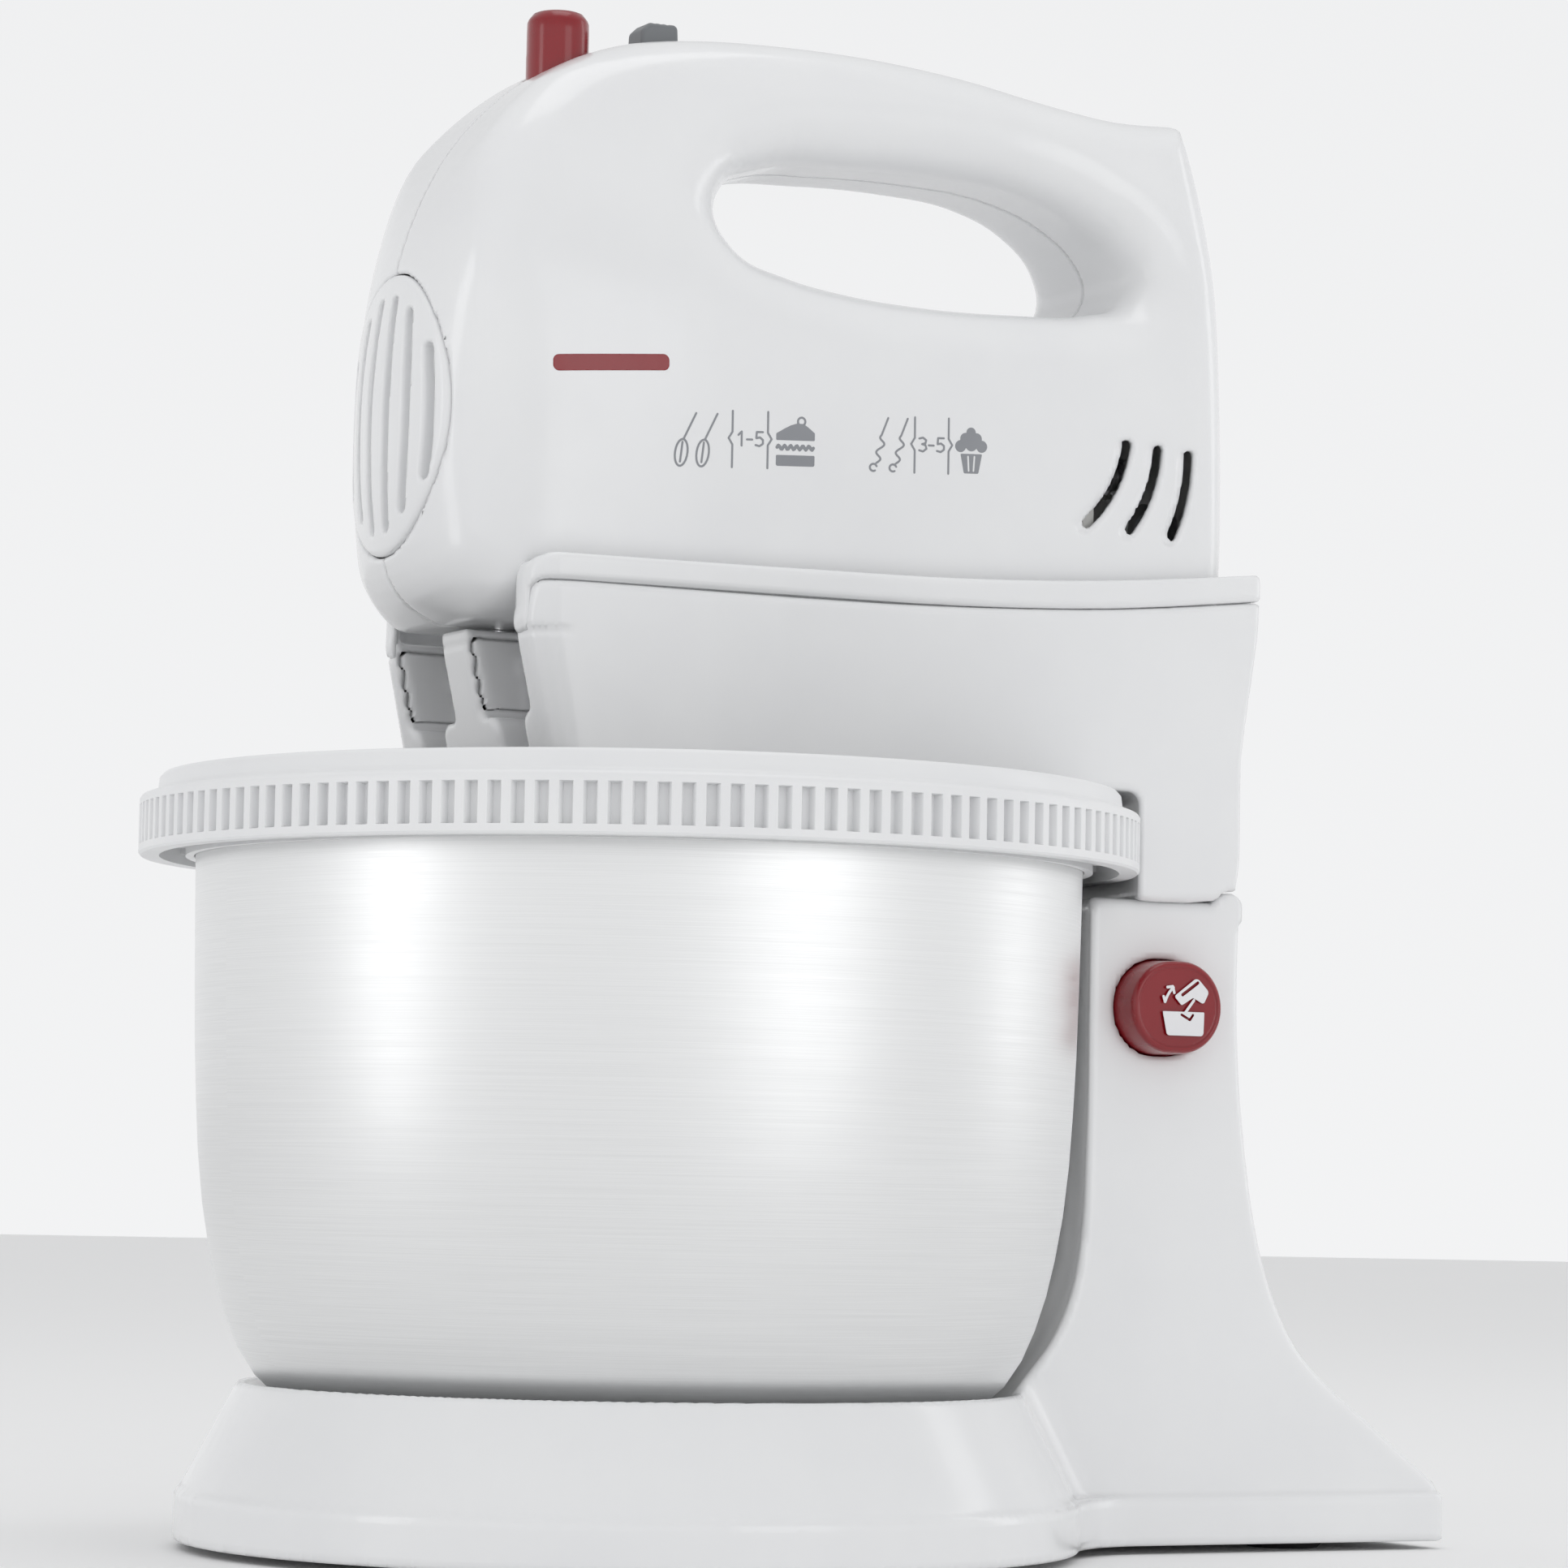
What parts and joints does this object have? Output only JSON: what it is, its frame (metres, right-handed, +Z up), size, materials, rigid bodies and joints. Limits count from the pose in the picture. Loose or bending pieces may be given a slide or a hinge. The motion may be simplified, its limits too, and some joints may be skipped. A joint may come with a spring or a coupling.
{
  "type": "stand mixer",
  "caption": "Hand mixer docked on a tilting arm over a geared, turning steel bowl on a stand, with whisks, motor, worm drives, eject and release buttons.",
  "frame": {"origin": "on the table, under the middle of the object's length and width", "axes": "+Z up; the nose of the hand mixer points along -X and the column stands at +X; +Y is the mixer's right-hand side"},
  "size_m": [0.3034, 0.222, 0.341],
  "materials": {
    "white_plastic": "glossy white moulded plastic",
    "inner_plastic": "natural moulded plastic",
    "red_plastic": "glossy red moulded plastic",
    "grey_plastic": "grey moulded plastic",
    "bowl_steel": "satin stainless steel",
    "steel": "turned steel",
    "wire_chrome": "bright plated wire",
    "copper": "enamelled copper winding",
    "brass": "brass",
    "iron": "stacked lamination steel",
    "rubber": "soft rubber",
    "board": "green circuit board"
  },
  "bodies": {
    "stand": {"base_shell": "white_plastic", "base_plate": "white_plastic", "rubber_feet": "rubber", "base_screws": "steel", "hinge_pin": "steel", "bowl_pivot": "steel", "release_bracket": "inner_plastic", "release_spring": "steel", "latch_guide": "inner_plastic"},
    "bowl": {"bowl_shell": "bowl_steel", "gear_ring": "white_plastic", "bowl_hub": "inner_plastic"},
    "arm": {"arm_shell": "white_plastic", "tray_rim": "white_plastic", "arm_cover": "white_plastic", "cover_screws": "steel", "hinge_bushes": "brass", "drive_bush": "brass"},
    "bowl_drive": {"drive_pinion": "inner_plastic", "drive_dog": "grey_plastic"},
    "mixer": {"housing_left": "white_plastic", "housing_right": "white_plastic", "nose_grille": "white_plastic", "front_bulkhead": "inner_plastic", "rear_bulkhead": "inner_plastic", "front_bearing": "brass", "rear_bearing": "brass", "motor_stator": "iron", "field_coils": "copper", "motor_screws": "steel", "brush_holders": "brass", "gear_deck": "inner_plastic", "takeoff_shelf": "inner_plastic", "eject_spring": "steel", "eject_bridge": "inner_plastic", "slider_rail": "grey_plastic", "switch_block": "grey_plastic", "cord_gland": "grey_plastic", "control_board": "board"},
    "rotor": {"rotor_shaft": "steel", "front_thread": "steel", "rear_thread": "steel", "armature": "iron", "commutator": "copper", "cooling_fan": "inner_plastic"},
    "takeoff": {"takeoff_wheel": "inner_plastic", "takeoff_shaft": "steel", "takeoff_dog": "grey_plastic"},
    "left_spindle": {"spindle_left": "inner_plastic"},
    "right_spindle": {"spindle_right": "inner_plastic"},
    "left_whisk": {"whisk_left": "wire_chrome"},
    "right_whisk": {"whisk_right": "wire_chrome"},
    "eject": {"eject_button": "red_plastic", "eject_plate": "inner_plastic"},
    "speed": {"speed_slider": "grey_plastic"},
    "release": {"release_button": "red_plastic"},
    "latch": {"tilt_latch": "grey_plastic"}
  },
  "joints": [
    {"name": "bowl_spin", "type": "hinge", "parent": "stand", "child": "bowl", "pos_m": [-0.04075, 0, 0.04], "axis": [0, 0, 1], "continuous": true},
    {"name": "arm_tilt", "type": "hinge", "parent": "stand", "child": "arm", "pos_m": [0.09125, 0, 0.145], "axis": [0, 1, 0], "range_deg": [0, 55]},
    {"name": "bowl_drive_spin", "type": "hinge", "parent": "arm", "child": "bowl_drive", "pos_m": [0.0772, 0.015, 0.155], "axis": [0, 0, 1], "continuous": true},
    {"name": "mixer_lift", "type": "slide", "parent": "arm", "child": "mixer", "axis": [0, 0, 1], "range_m": [0, 0.03]},
    {"name": "rotor_spin", "type": "hinge", "parent": "mixer", "child": "rotor", "pos_m": [0.00925, 0, 0.248], "axis": [1, 0, 0], "continuous": true},
    {"name": "takeoff_spin", "type": "hinge", "parent": "mixer", "child": "takeoff", "pos_m": [0.0772, 0.015, 0.248], "axis": [0, 0, 1], "continuous": true},
    {"name": "left_spindle_spin", "type": "hinge", "parent": "mixer", "child": "left_spindle", "pos_m": [-0.06575, -0.02, 0.248], "axis": [0, 0, 1], "continuous": true},
    {"name": "right_spindle_spin", "type": "hinge", "parent": "mixer", "child": "right_spindle", "pos_m": [-0.06575, 0.02, 0.248], "axis": [0, 0, 1], "continuous": true},
    {"name": "eject_press", "type": "slide", "parent": "mixer", "child": "eject", "axis": [0, 0, -1], "range_m": [0, 0.005], "stiffness_N_per_m": 500, "springref_m": -0.003},
    {"name": "left_whisk_slide", "type": "slide", "parent": "left_spindle", "child": "left_whisk", "axis": [0, 0, -1], "range_m": [0, 0.005]},
    {"name": "right_whisk_slide", "type": "slide", "parent": "right_spindle", "child": "right_whisk", "axis": [0, 0, -1], "range_m": [0, 0.005]},
    {"name": "speed_slide", "type": "slide", "parent": "mixer", "child": "speed", "axis": [1, 0, 0], "range_m": [0, 0.02]},
    {"name": "release_press", "type": "slide", "parent": "stand", "child": "release", "axis": [0, 1, 0], "range_m": [0, 0.004], "stiffness_N_per_m": 900, "springref_m": -0.002},
    {"name": "latch_slide", "type": "slide", "parent": "stand", "child": "latch", "axis": [1, 0, 0], "range_m": [0, 0.003]}
  ],
  "couplings": [
    {"joint": "left_spindle_spin", "follows": "rotor_spin", "ratio": 0.071429},
    {"joint": "right_spindle_spin", "follows": "rotor_spin", "ratio": -0.071429},
    {"joint": "takeoff_spin", "follows": "rotor_spin", "ratio": 0.035714},
    {"joint": "bowl_drive_spin", "follows": "rotor_spin", "ratio": 0.035714},
    {"joint": "bowl_spin", "follows": "rotor_spin", "ratio": -0.0030612},
    {"joint": "left_whisk_slide", "follows": "eject_press", "ratio": 1},
    {"joint": "right_whisk_slide", "follows": "eject_press", "ratio": 1},
    {"joint": "latch_slide", "follows": "release_press", "ratio": 0.75}
  ]
}
